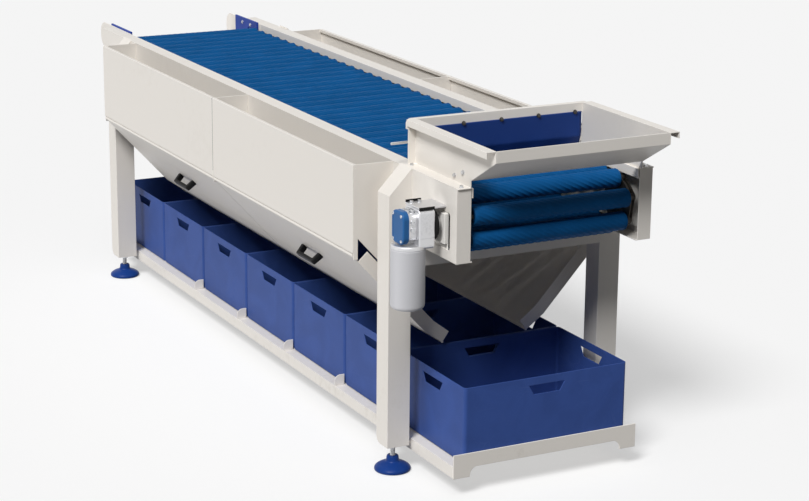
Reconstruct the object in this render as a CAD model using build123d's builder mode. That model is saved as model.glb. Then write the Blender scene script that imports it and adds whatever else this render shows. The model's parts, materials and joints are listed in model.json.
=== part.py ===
from build123d import *
import os
from math import atan2, cos, degrees, radians, sin, sqrt, tan

# Roller inspection table: a bed of rollers on chains between two rails on four posts, fed from a
# hopper, with a sorting chute along each side and a row of crates on a tray underneath.
# Millimetres. X runs along the bed towards the hopper, Y = 0 is the middle plane, +Z is up.
# The origin is on the floor below the middle of the table. "left" is -Y and "right" is +Y.

SIDES = {"left": -1, "right": 1}
ENDS = {"far": -1, "near": 1}

# Sheet metal, clearances and bolts
sheet = 3.0
fit = 0.05
seat_gap = 0.5
run_gap = 1.0
bolt_radius = 7.0
bolt_height = 6.0

# Posts and levelling feet
post_x = 1177.0
post_size = 75.0
post_bottom = 86.0
post_top_inner = 955.0
post_top_outer = 876.0
post_corner = 25.0
post_plug = 40.0
foot_radius = 57.0
foot_edge = 9.0
foot_dome = 30.0
foot_bulge = 0.7
foot_hub_radius = 19.0
foot_hub_top = 50.0
stem_radius = 8.0
stem_reach = 45.0
nut_radius = 15.0
nut_height = 11.0

# Side rails, folded channels seated on the posts' inner faces
rail_far = -1460.0
rail_near = 1492.0
rail_bottom = 730.0
rail_top = 950.0
rail_flange = 52.0
end_fold = 46.0
lip_gap = 3.0
beam_bottom = 649.0
beam_height = 60.0

# Roller bed: rollers on axles, chains, wheels and shafts
pitch = 75.0
wheel_teeth = 6
run_count = 36
bed_top = 935.0
roller_radius = 29.0
roller_chamfer = 2.0
axle_radius = 8.0
axle_overhang = 2.0
chain_gap = 7.0
chain_tuck = 10.0
plate_thickness = 2.5
plate_radius = 12.0
bush_width = 8.0
bush_radius = 11.0
wheel_side_gap = 0.3
wheel_radius = 70.0
pocket_radius = 12.5
wheel_lead = 10.4
shaft_radius = 15.0
drive_x = 1386.0
guide_width = 6.0
guide_leg = 4.0
guide_drop = 17.0
guide_end_gap = 25.0

# Bearings
takeup_slot_length = 131.0
takeup_slot_height = 112.0
takeup_slot_z = 816.0
takeup_slot_corner = 10.0
block_length = 96.0
block_height = 90.0
block_rise = 6.0
block_lap = 8.0
block_stand = 9.0
tail_bearing_radius = 55.0
tail_bearing_width = 16.0
tail_hole_gap = 10.0

# Gearbox, motor and shaft cap on the left end of the drive shaft
gear_stand = 37.0
gear_width = 52.0
gear_length = 92.0
gear_above = 54.0
gear_below = 64.0
gear_corner = 14.0
neck_width = 28.0
neck_length = 66.0
neck_height = 84.0
neck_corner = 20.0
motor_reach = 64.0
motor_radius = 51.0
motor_height = 182.0
motor_round = 14.0
motor_flange = 12.0
cap_length = 75.0
cap_height = 98.0
cap_corner = 24.0
cap_width = 19.0
cap_round = 6.0
bracket_length = 84.0
bracket_plate = 6.0

# Feed hopper
hopper_far = 1156.0
hopper_step = 9.0
hopper_rim = 1088.0
hopper_lip_x = 1637.0
hopper_lip_bottom = 1053.0
hopper_throat_x = 1497.0
hopper_throat_top = 973.0
hopper_rim_width = 33.0
hopper_rim_drop = 20.0
hopper_end_fold = 25.0
hopper_beam_depth = 16.0
hopper_beam_bottom = 1056.0
beam_end_gap = 5.0
flap_side_gap = 4.0
flap_top = 1060.0
flap_fold = 1012.0
flap_bottom = 955.0
flap_thickness = 4.0
flap_edge_round = 1.8
flap_bolt_spacing = 130.0
flap_bolt_count = 5
rod_radius = 4.0
rod_z = 1018.0
rod_overhang = 39.0
seat_bolt_inset = 18.0
wall_bolt_back = 94.0
wall_bolt_rise = 20.0
wall_bolt_step = 50.0
wall_bolt_climb = 19.0

# Sorting chutes
chute_far = -1094.0
chute_near = 1088.0
chute_seam = -5.0
chute_width = 132.6
chute_rim = 949.0
chute_rim_width = 12.0
chute_rim_drop = 12.0
seam_depth = 2.5
hinge_z = 668.0
hinge_pin_radius = 4.0
hinge_curl = 7.0
ear_width = 15.0
ear_drop = 13.0
floor_slope = 47.4
floor_length = 364.0
floor_drop = 5.0
lip_slope = 35.5
lip_length = 77.0
hem_radius = 3.5
upstand = 40.0
upstand_start = 25.0
handle_at = 177.0
handle_length = 144.0
handle_height = 38.0
handle_bar = 13.0
handle_width = 20.0
handle_taper = 12.0

# Crates and their tray
crate_count = 7
crate_length = 400.0
crate_gap = 5.0
crate_width = 564.0
crate_top = 340.0
crate_wall = 3.0
crate_corner = 12.0
crate_near = 1467.5
slot_top_width = 125.0
slot_bottom_width = 90.0
slot_top = 315.0
slot_bottom = 286.0
deck_top = 102.0
deck_skirt = 37.0
tray_end_gap = 2.0
tray_end_top = 138.0
tray_end_bottom = 63.0
tray_end_sheet = 4.0
arch_top = 93.0
arch_foot = 56.5
arch_corner = 25.0
fin_sheet = 3.0
fin_width = 35.5
fin_count = 5
fin_round = 20.0
hanger_length = 50.0
hanger_height = 10.0
hanger_width = 12.5

# Outfeed end
cheek_far = -1637.0
cheek_near = -1290.0
cheek_bottom = 850.0
cheek_round = 45.0
cheek_sheet = 4.0
guide_plate = 8.0
guide_plate_far = -1522.0
guide_plate_near = -1300.0
guide_plate_top = 956.0
guide_plate_bottom = 868.0
chain_sweep_gap = 5.0
slide_drop = 35.0
guide_bolt_spacing = 80.0

# Sizes that follow
fin_inner = crate_width / 2 + run_gap
deck_half = fin_inner + fin_width
post_inner = deck_half + hanger_width
post_outer = post_inner + post_size
foot_y = post_inner + post_size / 2
rail_outer = post_inner
rail_inner = rail_outer - rail_flange
chain_stack = chain_gap + 4 * plate_thickness + bush_width
roller_half = rail_inner + chain_tuck - chain_stack
web_inner = rail_outer - sheet
wheel_pitch_radius = pitch / 2 / sin(radians(180 / wheel_teeth))
shaft_z = bed_top - roller_radius - wheel_pitch_radius
carry_z = shaft_z + wheel_pitch_radius
return_z = shaft_z - wheel_pitch_radius
tail_x = drive_x - run_count * pitch
plate_outer_y = roller_half + chain_gap
plate_inner_y = plate_outer_y + plate_thickness
bush_y = plate_inner_y + plate_thickness
chain_y = bush_y + bush_width / 2
wheel_thickness = bush_width - 2 * wheel_side_gap
chain_far_y = bush_y + bush_width + 2 * plate_thickness
axle_half = chain_far_y + axle_overhang
chain_sweep = wheel_pitch_radius + plate_radius + chain_sweep_gap
rail_lip_bottom = carry_z + plate_radius + lip_gap
gear_inner = rail_outer + gear_stand
gear_outer = gear_inner + gear_width
neck_outer = gear_outer + neck_width
motor_y = gear_inner + motor_reach
gear_bottom = shaft_z - gear_below
gear_top = shaft_z + gear_above
hopper_inner = rail_inner + hopper_step
hopper_outer = hopper_inner + sheet
hopper_beam_half = hopper_inner + hopper_rim_width - beam_end_gap
flap_half = hopper_inner - flap_side_gap
rod_left = rail_outer + rod_overhang
rod_right = hopper_outer + hopper_end_fold
chute_outer = rail_outer + chute_width
chute_inner = rail_outer
panel_inner = chute_outer - sheet
hinge_y = chute_outer - hinge_curl
panel_bottom = hinge_z + hinge_curl + run_gap
arch_half = deck_half - arch_foot
crate_pitch = crate_length + crate_gap
crate_bottom = deck_top + seat_gap
tray_near = crate_near + tray_end_gap
tray_far = crate_near - crate_count * crate_pitch + crate_gap - tray_end_gap


def facing_y(y):
    """Upright plane across the table at Y = y, drawn in X and Z."""
    return Plane(origin=(0, y, 0), x_dir=(1, 0, 0), z_dir=(0, -1, 0))


def on_side(points, side):
    """Points given as distance from the middle plane and height, put on one side."""
    return [(side * y, z) for y, z in points]


def keep(builder, label):
    """Name a finished piece and write it out."""
    builder.part.label = label
    export_step(builder.part, f"parts/{label}.step")


os.makedirs("parts", exist_ok=True)


# Posts: hollow square sections with a sloping closed top and a drilled bottom plate
def make_post(label, end, side):
    x_low = end * post_x - post_size / 2
    x_high = x_low + post_size
    cavity_top = post_top_outer - post_plug
    outline = [(x_low, post_bottom), (x_high, post_bottom), (x_high, post_top_inner), (x_low, post_top_inner)]
    with BuildPart() as post:
        with BuildSketch(facing_y(side * post_inner)) as face:
            Polygon(*outline, align=None)
            fillet(face.vertices().sort_by_distance((x_low, post_bottom))[0], post_corner)
        extrude(amount=-side * post_size)
        with BuildSketch(facing_y(side * (post_inner + sheet))) as core:
            Polygon(
                (x_low + sheet, post_bottom + sheet),
                (x_high - sheet, post_bottom + sheet),
                (x_high - sheet, cavity_top),
                (x_low + sheet, cavity_top),
                align=None,
            )
            inner_corner = (x_low + sheet, post_bottom + sheet)
            fillet(core.vertices().sort_by_distance(inner_corner)[0], post_corner - sheet)
        extrude(amount=-side * (post_size - 2 * sheet), mode=Mode.SUBTRACT)
        with BuildSketch(Plane.YZ.offset(x_low)):
            slope = [(post_inner, post_top_inner), (post_outer, post_top_outer), (post_outer, post_top_inner)]
            Polygon(*on_side(slope, side), align=None)
        extrude(amount=post_size, mode=Mode.SUBTRACT)
        with BuildSketch(Plane.XY.offset(post_bottom)):
            with Locations((end * post_x, side * foot_y)):
                Circle(stem_radius + fit)
        extrude(amount=sheet, mode=Mode.SUBTRACT)
    keep(post, label)


# Levelling feet: domed pad, threaded stem up into the post, lock nut under the post
def make_foot(label, end, side):
    middle = (end * post_x, side * foot_y)
    with BuildPart() as foot:
        with BuildSketch(Plane.XZ.offset(-side * foot_y)):
            with BuildLine():
                Polyline((middle[0], 0), (middle[0] + foot_radius, 0), (middle[0] + foot_radius, foot_edge))
                dome_out = (foot_radius + foot_hub_radius) / 2
                dome_rise = foot_bulge * (foot_dome - foot_edge)
                ThreePointArc(
                    (middle[0] + foot_radius, foot_edge),
                    (middle[0] + dome_out, foot_edge + dome_rise),
                    (middle[0] + foot_hub_radius, foot_dome),
                )
                Polyline(
                    (middle[0] + foot_hub_radius, foot_dome),
                    (middle[0] + foot_hub_radius, foot_hub_top),
                    (middle[0] + stem_radius, foot_hub_top),
                    (middle[0] + stem_radius, post_bottom + stem_reach),
                    (middle[0], post_bottom + stem_reach),
                    (middle[0], 0),
                )
            make_face()
        revolve(axis=Axis((middle[0], middle[1], 0), (0, 0, 1)))
        with BuildSketch(Plane.XY.offset(post_bottom - nut_height)):
            with Locations(middle):
                RegularPolygon(nut_radius, 6)
        extrude(amount=nut_height)
    keep(foot, label)


for end_name, end in ENDS.items():
    for side_name, side in SIDES.items():
        make_post(f"post_{end_name}_{side_name}", end, side)
        make_foot(f"foot_{end_name}_{side_name}", end, side)


# Cross members: channels between the posts, open towards the middle of the table
with BuildPart() as cross_members:
    for end in ENDS.values():
        outer_x = end * (post_x + post_size / 2)
        inner_x = outer_x - end * post_size
        beam_top = beam_bottom + beam_height
        with BuildSketch(facing_y(0)):
            Polygon(
                (outer_x, beam_bottom),
                (outer_x, beam_top),
                (inner_x, beam_top),
                (inner_x, beam_top - sheet),
                (outer_x - end * sheet, beam_top - sheet),
                (outer_x - end * sheet, beam_bottom + sheet),
                (inner_x, beam_bottom + sheet),
                (inner_x, beam_bottom),
                align=None,
            )
        extrude(amount=post_inner, both=True)
keep(cross_members, "cross_members")


# Side rails: lipped channels with a take-up slot and a folded end at the drive
def make_rail(label, side):
    channel = [
        (rail_outer, rail_bottom),
        (rail_outer, rail_top),
        (rail_inner, rail_top),
        (rail_inner, rail_lip_bottom),
        (rail_inner + sheet, rail_lip_bottom),
        (rail_inner + sheet, rail_top - sheet),
        (web_inner, rail_top - sheet),
        (web_inner, rail_bottom + sheet),
        (rail_inner, rail_bottom + sheet),
        (rail_inner, rail_bottom),
    ]
    fold_inner = rail_outer - end_fold
    fold = [
        (fold_inner, rail_bottom),
        (rail_outer, rail_bottom),
        (rail_outer, rail_top),
        (fold_inner, rail_top),
    ]
    with BuildPart() as rail:
        with BuildSketch(Plane.YZ.offset(rail_far)):
            Polygon(*on_side(channel, side), align=None)
        extrude(amount=rail_near - rail_far)
        with BuildSketch(Plane.YZ.offset(rail_near - sheet)):
            Polygon(*on_side(fold, side), align=None)
        extrude(amount=sheet)
        with BuildSketch(facing_y(side * rail_outer)):
            with Locations((drive_x, takeup_slot_z)):
                RectangleRounded(takeup_slot_length, takeup_slot_height, takeup_slot_corner)
            with Locations((tail_x, shaft_z)):
                Circle(shaft_radius + tail_hole_gap)
        extrude(amount=side * sheet, mode=Mode.SUBTRACT)
    keep(rail, label)


for side_name, side in SIDES.items():
    make_rail(f"rail_{side_name}", side)


# Chain guides: angles on the rails that carry the chain bushes on both runs
with BuildPart() as chain_guides:
    guide_far = tail_x + chain_sweep + guide_end_gap
    guide_near = drive_x - chain_sweep - guide_end_gap
    guide_y = chain_y - guide_width / 2
    for side in SIDES.values():
        for run_z, foot_z in ((carry_z, carry_z - bush_radius - guide_drop), (return_z, rail_bottom + sheet)):
            track = run_z - bush_radius - seat_gap
            angle = [
                (guide_y, foot_z),
                (web_inner, foot_z),
                (web_inner, foot_z + guide_leg),
                (guide_y + guide_width, foot_z + guide_leg),
                (guide_y + guide_width, track),
                (guide_y, track),
            ]
            with BuildSketch(Plane.YZ.offset(guide_far)):
                Polygon(*on_side(angle, side), align=None)
            extrude(amount=guide_near - guide_far)
keep(chain_guides, "chain_guides")


# Chain loop: pins at one pitch along both runs and on a third of each wheel
lead_in = sqrt(pitch**2 - (wheel_pitch_radius * (1 - cos(radians(wheel_lead)))) ** 2)
first_pin = lead_in - wheel_pitch_radius * sin(radians(wheel_lead))
step_angle = 360 / wheel_teeth
half_turn = range(wheel_teeth // 2)


def wheel_pin(centre_x, angle):
    """Pin on a wheel's pitch circle."""
    return (
        centre_x + wheel_pitch_radius * cos(radians(angle)),
        shaft_z + wheel_pitch_radius * sin(radians(angle)),
    )


pins = {
    "carry": [(drive_x - first_pin - pitch * k, carry_z) for k in range(run_count)],
    "tail": [wheel_pin(tail_x, 90 - wheel_lead + step_angle * (k + 1)) for k in half_turn],
    "return": [(tail_x + first_pin + pitch * k, return_z) for k in range(run_count)],
    "drive": [wheel_pin(drive_x, 270 - wheel_lead + step_angle * (k + 1)) for k in half_turn],
}


# Rollers: tubes turning on their axles
def make_rollers(label, points):
    with BuildPart() as rollers:
        with BuildSketch(facing_y(0)):
            with Locations(*points):
                Circle(roller_radius)
                Circle(axle_radius + fit, mode=Mode.SUBTRACT)
        extrude(amount=roller_half, both=True)
        circles = rollers.edges().filter_by(GeomType.CIRCLE)
        rims = circles.filter_by(lambda edge: edge.radius > axle_radius + run_gap)
        chamfer(rims, roller_chamfer)
    keep(rollers, label)


# Chains: link plates inside and outside in turn, bushes between them, and the axles across
def make_chains(label, points):
    links = list(zip(points, points[1:]))
    layers = [
        (plate_outer_y, plate_thickness, links[1::2]),
        (plate_inner_y, plate_thickness, links[0::2]),
        (bush_y + bush_width, plate_thickness, links[0::2]),
        (bush_y + bush_width + plate_thickness, plate_thickness, links[1::2]),
    ]
    with BuildPart() as chains:
        with BuildSketch(facing_y(0)):
            with Locations(*points):
                Circle(axle_radius)
        extrude(amount=axle_half, both=True)
        for side in SIDES.values():
            with BuildSketch(facing_y(side * bush_y)):
                with Locations(*points):
                    Circle(bush_radius)
            extrude(amount=-side * bush_width)
            for start, thickness, spans in layers:
                with BuildSketch(facing_y(side * start)):
                    for low, high in spans:
                        with Locations(((low[0] + high[0]) / 2, (low[1] + high[1]) / 2)):
                            lean = degrees(atan2(high[1] - low[1], high[0] - low[0]))
                            SlotCenterToCenter(pitch, 2 * plate_radius, rotation=lean)
                extrude(amount=-side * thickness)
    keep(chains, label)


for run, points in pins.items():
    make_rollers(f"{run}_rollers", points)
    make_chains(f"{run}_chains", points)


# Wheels: chain wheels with a pocket for each bush, pressed on their shafts
def make_wheels(label, centre_x):
    with BuildPart() as wheels:
        for side in SIDES.values():
            with BuildSketch(facing_y(side * (chain_y - wheel_thickness / 2))):
                with Locations((centre_x, shaft_z)):
                    Circle(wheel_radius)
                    Circle(shaft_radius, mode=Mode.SUBTRACT)
                    with PolarLocations(wheel_pitch_radius, wheel_teeth, start_angle=90 - wheel_lead):
                        Circle(pocket_radius, mode=Mode.SUBTRACT)
            extrude(amount=-side * wheel_thickness)
    keep(wheels, label)


make_wheels("drive_wheels", drive_x)
make_wheels("tail_wheels", tail_x)

# Shafts: the drive shaft runs on through the gearbox, the tail shaft ends in its bearings
tail_half = rail_outer + tail_bearing_width
with BuildPart() as drive_shaft:
    with BuildSketch(facing_y(-neck_outer)):
        with Locations((drive_x, shaft_z)):
            Circle(shaft_radius)
    extrude(amount=-(neck_outer + rail_outer + block_stand))
keep(drive_shaft, "drive_shaft")

with BuildPart() as tail_shaft:
    with BuildSketch(facing_y(0)):
        with Locations((tail_x, shaft_z)):
            Circle(shaft_radius)
    extrude(amount=tail_half, both=True)
keep(tail_shaft, "tail_shaft")

# Shaft bearings: take-up blocks that slide in the rails' slots, lapped behind the web, at the drive,
# and round flanged housings on the rails' outer faces at the tail
with BuildPart() as shaft_bearings:
    for side in SIDES.values():
        with BuildSketch(facing_y(side * (web_inner - sheet))):
            with Locations((drive_x, takeup_slot_z)):
                Rectangle(block_length, takeup_slot_height + 2 * block_lap)
        extrude(amount=-side * sheet)
        with BuildSketch(facing_y(side * web_inner)):
            with Locations((drive_x, takeup_slot_z + block_rise)):
                Rectangle(block_length, block_height)
        extrude(amount=-side * (sheet + block_stand))
    with BuildSketch(facing_y(0)):
        with Locations((drive_x, shaft_z)):
            Circle(shaft_radius + fit)
    extrude(amount=post_outer, both=True, mode=Mode.SUBTRACT)
    for side in SIDES.values():
        with BuildSketch(facing_y(side * rail_outer)):
            with Locations((tail_x, shaft_z)):
                Circle(tail_bearing_radius)
                Circle(shaft_radius + fit, mode=Mode.SUBTRACT)
        extrude(amount=-side * tail_bearing_width)
keep(shaft_bearings, "shaft_bearings")

# Gearbox: rounded housing with a neck for the shaft cap, bored for the drive shaft, and a round flange
# for the motor
with BuildPart() as gearbox:
    with BuildSketch(facing_y(-gear_inner)):
        with Locations((drive_x, (gear_bottom + gear_top) / 2)):
            RectangleRounded(gear_length, gear_top - gear_bottom, gear_corner)
    extrude(amount=gear_width)
    with BuildSketch(facing_y(-gear_outer)):
        with Locations((drive_x, shaft_z)):
            RectangleRounded(neck_length, neck_height, neck_corner)
    extrude(amount=neck_width)
    with BuildSketch(Plane.XY.offset(gear_bottom)):
        with Locations((drive_x, -motor_y)):
            Circle(motor_radius)
    extrude(amount=motor_flange)
    with BuildSketch(facing_y(-gear_inner)):
        with Locations((drive_x, shaft_z)):
            Circle(shaft_radius + fit)
    extrude(amount=gear_width + neck_width, mode=Mode.SUBTRACT)
keep(gearbox, "gearbox")

# Motor: upright cylinder under the gearbox
with BuildPart() as motor:
    with BuildSketch(Plane.XY.offset(gear_bottom - motor_height)):
        with Locations((drive_x, -motor_y)):
            Circle(motor_radius)
    extrude(amount=motor_height)
    fillet(motor.edges().sort_by(Axis.Z)[0], motor_round)
keep(motor, "motor")

# Shaft cap: rounded cover over the shaft's end on the gearbox's neck
with BuildPart() as shaft_cap:
    with BuildSketch(facing_y(-neck_outer)):
        with Locations((drive_x, shaft_z)):
            RectangleRounded(cap_length, cap_height, cap_corner)
    extrude(amount=cap_width)
    fillet(shaft_cap.edges().group_by(Axis.Y)[0], cap_round)
keep(shaft_cap, "shaft_cap")

# Torque bracket: plate welded to the rail's web and bolted on the gearbox
with BuildPart() as torque_bracket:
    with BuildSketch(Plane.XY.offset(gear_top)):
        with Locations((drive_x, -(rail_outer + gear_outer) / 2)):
            Rectangle(bracket_length, gear_outer - rail_outer)
    extrude(amount=bracket_plate)
keep(torque_bracket, "torque_bracket")

# Hopper side walls: folded rims above, seat flanges on the rails below, a fold at the far edge
hopper_seat = rail_top + sheet
with BuildPart() as hopper_sides:
    for side in SIDES.values():
        with BuildSketch(facing_y(side * hopper_inner)):
            Polygon(
                (hopper_far, rail_top),
                (hopper_throat_x, rail_top),
                (hopper_throat_x, hopper_throat_top),
                (hopper_lip_x, hopper_lip_bottom),
                (hopper_lip_x, hopper_rim),
                (hopper_far, hopper_rim),
                align=None,
            )
        extrude(amount=-side * sheet)
        rim_outer = hopper_inner + hopper_rim_width
        rim = [
            (hopper_inner, hopper_rim),
            (rim_outer, hopper_rim),
            (rim_outer, hopper_rim - hopper_rim_drop),
            (rim_outer - sheet, hopper_rim - hopper_rim_drop),
            (rim_outer - sheet, hopper_rim - sheet),
            (hopper_inner, hopper_rim - sheet),
        ]
        with BuildSketch(Plane.YZ.offset(hopper_far)):
            Polygon(*on_side(rim, side), align=None)
        extrude(amount=hopper_lip_x - hopper_far)
        seat = [
            (hopper_inner, rail_top),
            (rail_outer, rail_top),
            (rail_outer, hopper_seat),
            (hopper_inner, hopper_seat),
        ]
        with BuildSketch(Plane.YZ.offset(hopper_far)):
            Polygon(*on_side(seat, side), align=None)
        extrude(amount=hopper_throat_x - hopper_far)
        end_fold_band = [
            (hopper_inner, rail_top),
            (hopper_outer + hopper_end_fold, rail_top),
            (hopper_outer + hopper_end_fold, hopper_rim),
            (hopper_inner, hopper_rim),
        ]
        with BuildSketch(Plane.YZ.offset(hopper_far)):
            Polygon(*on_side(end_fold_band, side), align=None)
        extrude(amount=sheet)
keep(hopper_sides, "hopper_sides")

# Hopper near wall: upright lip and a sloping sheet that ends above the rollers
slope_length = sqrt((hopper_lip_x - hopper_throat_x) ** 2 + (hopper_lip_bottom - hopper_throat_top) ** 2)
slope_rise = sheet * (hopper_lip_x - hopper_throat_x) / slope_length
with BuildPart() as hopper_front:
    with BuildSketch(facing_y(0)):
        Polygon(
            (hopper_throat_x, hopper_throat_top),
            (hopper_lip_x, hopper_lip_bottom),
            (hopper_lip_x, hopper_rim),
            (hopper_lip_x - sheet, hopper_rim),
            (hopper_lip_x - sheet, hopper_lip_bottom + slope_rise),
            (hopper_throat_x - sheet, hopper_throat_top + slope_rise),
            align=None,
        )
    extrude(amount=hopper_inner, both=True)
keep(hopper_front, "hopper_front")

# Hopper far beam: box section across both walls, rounded at its upper ends
with BuildPart() as hopper_beam:
    with BuildSketch(Plane.YZ.offset(hopper_far - hopper_beam_depth)):
        with Locations((0, (hopper_beam_bottom + hopper_rim) / 2)):
            Rectangle(2 * hopper_beam_half, hopper_rim - hopper_beam_bottom)
    extrude(amount=hopper_beam_depth)
    upper = hopper_beam.edges().filter_by(Axis.X).group_by(Axis.Z)[-1]
    fillet(upper, (hopper_rim - hopper_beam_bottom) / 2)
keep(hopper_beam, "hopper_beam")

# Rubber flap: a band bolted to the beam and a curtain that swings below the fold
with BuildPart() as flap_band:
    with BuildSketch(Plane.YZ.offset(hopper_far)):
        with Locations((0, (flap_fold + flap_top) / 2)):
            Rectangle(2 * flap_half, flap_top - flap_fold)
    extrude(amount=flap_thickness)
keep(flap_band, "flap_band")

with BuildPart() as flap_curtain:
    with BuildSketch(Plane.YZ.offset(hopper_far)):
        with Locations((0, (flap_bottom + flap_fold - seat_gap) / 2)):
            Rectangle(2 * flap_half, flap_fold - seat_gap - flap_bottom)
    extrude(amount=flap_thickness)
    hinge_edges = flap_curtain.edges().filter_by(Axis.Y).group_by(Axis.Z)[-1]
    fillet(hinge_edges, flap_edge_round)
keep(flap_curtain, "flap_curtain")

# Cross rod behind the flap, lying on the walls' far folds
with BuildPart() as flap_rod:
    with BuildSketch(facing_y(-rod_left)):
        with Locations((hopper_far - rod_radius - fit, rod_z)):
            Circle(rod_radius)
    extrude(amount=-(rod_left + rod_right))
keep(flap_rod, "flap_rod")

# Chute sections: start and end of each along X, between the end plates and the divider
divider_far = chute_seam - sheet / 2
divider_near = chute_seam + sheet / 2
sections = {"far": (chute_far, divider_far), "near": (divider_near, chute_near)}

# Chute panels: outer walls with an inward rim and a small lip
with BuildPart() as chute_panels:
    rim_inner = chute_outer - chute_rim_width
    panel = [
        (chute_outer, panel_bottom),
        (chute_outer, chute_rim),
        (rim_inner, chute_rim),
        (rim_inner, chute_rim - chute_rim_drop),
        (rim_inner + sheet, chute_rim - chute_rim_drop),
        (rim_inner + sheet, chute_rim - sheet),
        (panel_inner, chute_rim - sheet),
        (panel_inner, panel_bottom),
    ]
    for side in SIDES.values():
        for start, stop in sections.values():
            with BuildSketch(Plane.YZ.offset(start)):
                Polygon(*on_side(panel, side), align=None)
            extrude(amount=stop - start)
keep(chute_panels, "chute_panels")

# Chute plates: end plates inside the panels, dividers between them, with ears for the hinge rods
ear_inner = panel_inner - ear_width
ear_bottom = hinge_z - ear_drop
floor_top_at_inner = hinge_z - (hinge_y - chute_inner) * tan(radians(floor_slope))
plate_low = floor_top_at_inner + (upstand + sheet) / cos(radians(floor_slope))


def plate_edge(y):
    """Height of the plates' sloping lower edge, just above the floors' upstands."""
    return plate_low + (y - chute_inner) * tan(radians(floor_slope))


with BuildPart() as chute_plates:
    end_plate = [
        (panel_inner, ear_bottom),
        (panel_inner, chute_rim - sheet),
        (rim_inner + sheet, chute_rim - sheet),
        (rim_inner + sheet, chute_rim - chute_rim_drop),
        (rim_inner, chute_rim - chute_rim_drop),
        (rim_inner, chute_rim),
        (chute_inner, chute_rim),
        (chute_inner, plate_edge(chute_inner)),
        (ear_inner, plate_edge(ear_inner)),
        (ear_inner, ear_bottom),
    ]
    divider = [
        (chute_outer - seam_depth, ear_bottom),
        (chute_outer - seam_depth, chute_rim),
        (chute_inner, chute_rim),
        (chute_inner, plate_edge(chute_inner)),
        (ear_inner, plate_edge(ear_inner)),
        (ear_inner, ear_bottom),
    ]
    plates = ((chute_far, end_plate), (divider_far, divider), (chute_near - sheet, end_plate))
    for side in SIDES.values():
        for start, shape in plates:
            with BuildSketch(Plane.YZ.offset(start)):
                Polygon(*on_side(shape, side), align=None)
            extrude(amount=sheet)
keep(chute_plates, "chute_plates")

# Hinge rods of the chute floors, held between the plates' ears
floor_spans = {"far": (chute_far + sheet, divider_far), "near": (divider_near, chute_near - sheet)}
with BuildPart() as hinge_rods:
    for side in SIDES.values():
        for start, stop in floor_spans.values():
            with BuildSketch(Plane.YZ.offset(start)):
                with Locations((side * hinge_y, hinge_z)):
                    Circle(hinge_pin_radius)
            extrude(amount=stop - start)
keep(hinge_rods, "hinge_rods")


# Chute floors: sloping sheets curled round the hinge rods, bent to a lip, with upstands at both ends
def down_slope(along, above):
    """Point on the floor: distance from the hinge down the slope, and square to it upwards."""
    slope = radians(floor_slope)
    return (
        hinge_y - along * cos(slope) - above * sin(slope),
        hinge_z - along * sin(slope) + above * cos(slope),
    )


def past_bend(above):
    """Point at the lip's free edge, square to the lip by the given height."""
    corner_y, corner_z = down_slope(floor_length, -floor_drop)
    slope = radians(lip_slope)
    return (
        corner_y - lip_length * cos(slope) - above * sin(slope),
        corner_z - lip_length * sin(slope) + above * cos(slope),
    )


def make_floor(label, side, start, stop):
    curl_start = sqrt(hinge_curl**2 - floor_drop**2)
    top = -floor_drop + sheet
    skin = [
        down_slope(curl_start, -floor_drop),
        down_slope(floor_length, -floor_drop),
        past_bend(0),
        past_bend(sheet),
        down_slope(floor_length, top),
        down_slope(curl_start, top),
    ]
    wall = [
        down_slope(upstand_start, top),
        down_slope(floor_length, top),
        past_bend(sheet),
        past_bend(upstand),
        down_slope(floor_length, top + upstand),
        down_slope(upstand_start, top + upstand),
    ]
    with BuildPart() as floor:
        with BuildSketch(Plane.YZ.offset(start)):
            Polygon(*on_side(skin, side), align=None)
            with Locations((side * hinge_y, hinge_z)):
                Circle(hinge_curl)
                Circle(hinge_pin_radius + fit, mode=Mode.SUBTRACT)
            with Locations(on_side([past_bend(sheet / 2)], side)[0]):
                Circle(hem_radius)
        extrude(amount=stop - start)
        for wall_start in (start, stop - sheet):
            with BuildSketch(Plane.YZ.offset(wall_start)):
                Polygon(*on_side(wall, side), align=None)
            extrude(amount=sheet)
    keep(floor, label)


# Handles: black bridge grips on the floors' outer faces
def make_handle(label, side, start, stop):
    seat_y, seat_z = down_slope(handle_at, -floor_drop)
    slope = radians(floor_slope)
    up_slope = (0, cos(slope), side * sin(slope))
    face = Plane(origin=((start + stop) / 2, side * seat_y, seat_z), x_dir=(1, 0, 0), z_dir=up_slope)
    half = handle_length / 2
    grip = half - handle_taper
    inside = handle_height - handle_bar
    with BuildPart() as handle:
        with BuildSketch(face):
            Polygon(
                (-half, 0),
                (-grip, handle_height),
                (grip, handle_height),
                (half, 0),
                (half - handle_width, 0),
                (grip - handle_bar, inside),
                (handle_bar - grip, inside),
                (handle_width - half, 0),
                align=None,
            )
        extrude(amount=handle_width / 2, both=True)
    keep(handle, label)


for side_name, side in SIDES.items():
    for section, (start, stop) in floor_spans.items():
        make_floor(f"chute_floor_{section}_{side_name}", side, start + run_gap, stop - run_gap)
        make_handle(f"handle_{section}_{side_name}", side, start, stop)


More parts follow.
